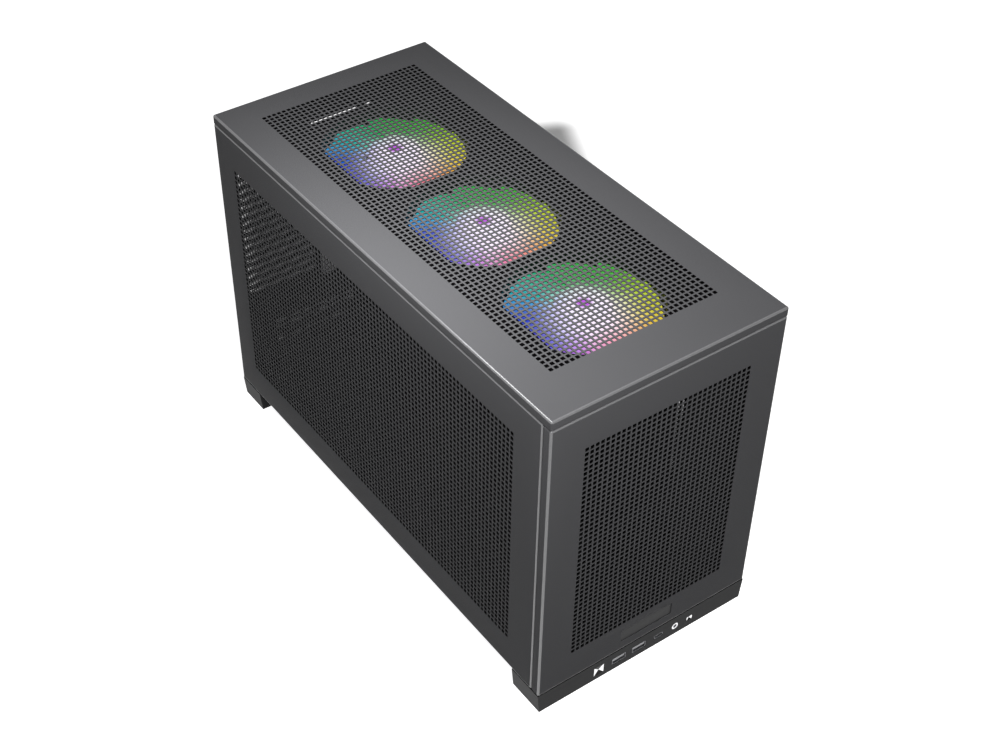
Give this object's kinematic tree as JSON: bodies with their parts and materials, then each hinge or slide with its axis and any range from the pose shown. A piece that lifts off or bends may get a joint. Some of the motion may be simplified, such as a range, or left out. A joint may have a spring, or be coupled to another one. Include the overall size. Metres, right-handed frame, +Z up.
{
  "type": "mini itx pc case",
  "caption": "Long low computer case of folded perforated steel with pull-off covers, a row of lit top fans and a front port strip.",
  "frame": {"origin": "on the ground, under the middle of the bounding box", "axes": "+Z up, front faces -Y, +X to the right seen from the front"},
  "size_m": [0.205, 0.445, 0.297],
  "materials": {
    "coated_steel": "fine matt powder coat",
    "chassis_steel": "black coat",
    "bright_steel": "zinc plated",
    "badge_black": "satin",
    "moulded_black": "fine moulded grain",
    "black_rubber": "matt",
    "standoff_brass": "turned",
    "board_laminate": "solder mask",
    "port_shell": "nickel plated",
    "port_tongue": "moulded",
    "jack_metal": "turned nickel",
    "button_metal": "satin facets",
    "fan_frame_black": "moulded",
    "fan_motor": "laminated",
    "fan_blade_plastic": "translucent white, lit"
  },
  "bodies": {
    "chassis": {"front_base": "moulded_black", "rear_base": "moulded_black", "foot_pads": "black_rubber", "base_screws": "bright_steel", "base_tray": "chassis_steel", "rear_panel": "chassis_steel", "front_bulkhead": "chassis_steel", "fan_tray": "chassis_steel", "motherboard_tray": "chassis_steel", "motherboard_standoffs": "standoff_brass", "psu_bracket": "chassis_steel", "drive_bracket": "chassis_steel", "panel_clips": "moulded_black", "chassis_rivets": "chassis_steel", "slot_carrier": "chassis_steel", "slot_cover_1": "chassis_steel", "slot_cover_2": "chassis_steel", "slot_thumbscrews": "bright_steel", "inlet_housing": "moulded_black", "inlet_pins": "bright_steel", "inlet_screws": "bright_steel", "io_board": "board_laminate", "io_board_screws": "bright_steel", "usb_a_shell_1": "port_shell", "usb_a_tongue_1": "port_tongue", "usb_a_shell_2": "port_shell", "usb_a_tongue_2": "port_tongue", "usb_c_shell": "port_shell", "usb_c_tongue": "moulded_black", "audio_jack_body": "moulded_black", "audio_jack_ring": "jack_metal", "power_switch": "moulded_black", "reset_switch": "moulded_black", "fan_frame_1": "fan_frame_black", "fan_frame_2": "fan_frame_black", "fan_frame_3": "fan_frame_black", "fan_stator_1": "fan_motor", "fan_stator_2": "fan_motor", "fan_stator_3": "fan_motor", "fan_screws": "chassis_steel"},
    "top_cover": {"top_cover": "coated_steel", "top_cover_studs": "bright_steel"},
    "front_cover": {"front_cover": "coated_steel", "front_cover_studs": "bright_steel", "badge_plate": "badge_black"},
    "left_side_panel": {"left_side_panel": "coated_steel", "left_panel_studs": "bright_steel"},
    "right_side_panel": {"right_side_panel": "coated_steel", "right_panel_studs": "bright_steel"},
    "power_button": {"power_button": "button_metal"},
    "reset_button": {"reset_button": "button_metal"},
    "fan_rotor_1": {"fan_rotor_1": "fan_blade_plastic"},
    "fan_rotor_2": {"fan_rotor_2": "fan_blade_plastic"},
    "fan_rotor_3": {"fan_rotor_3": "fan_blade_plastic"}
  },
  "joints": [
    {"name": "top_cover_lift", "type": "slide", "parent": "chassis", "child": "top_cover", "axis": [0, 0, 1], "range_m": [0, 0.06]},
    {"name": "front_cover_pull", "type": "slide", "parent": "chassis", "child": "front_cover", "axis": [0, -1, 0], "range_m": [0, 0.06]},
    {"name": "left_panel_pull", "type": "slide", "parent": "chassis", "child": "left_side_panel", "axis": [-1, 0, 0], "range_m": [0, 0.06]},
    {"name": "right_panel_pull", "type": "slide", "parent": "chassis", "child": "right_side_panel", "axis": [1, 0, 0], "range_m": [0, 0.06]},
    {"name": "power_button_press", "type": "slide", "parent": "chassis", "child": "power_button", "axis": [0, 1, 0], "range_m": [0, 0.0012], "stiffness_N_per_m": 1200, "springref_m": -0.0006},
    {"name": "reset_button_press", "type": "slide", "parent": "chassis", "child": "reset_button", "axis": [0, 1, 0], "range_m": [0, 0.0008], "stiffness_N_per_m": 1200, "springref_m": -0.0006},
    {"name": "fan_1_spin", "type": "hinge", "parent": "chassis", "child": "fan_rotor_1", "pos_m": [0, -0.1263, 0.275], "axis": [0, 0, 1], "continuous": true},
    {"name": "fan_2_spin", "type": "hinge", "parent": "chassis", "child": "fan_rotor_2", "pos_m": [0, -0.0063, 0.275], "axis": [0, 0, 1], "continuous": true},
    {"name": "fan_3_spin", "type": "hinge", "parent": "chassis", "child": "fan_rotor_3", "pos_m": [0, 0.1137, 0.275], "axis": [0, 0, 1], "continuous": true}
  ]
}
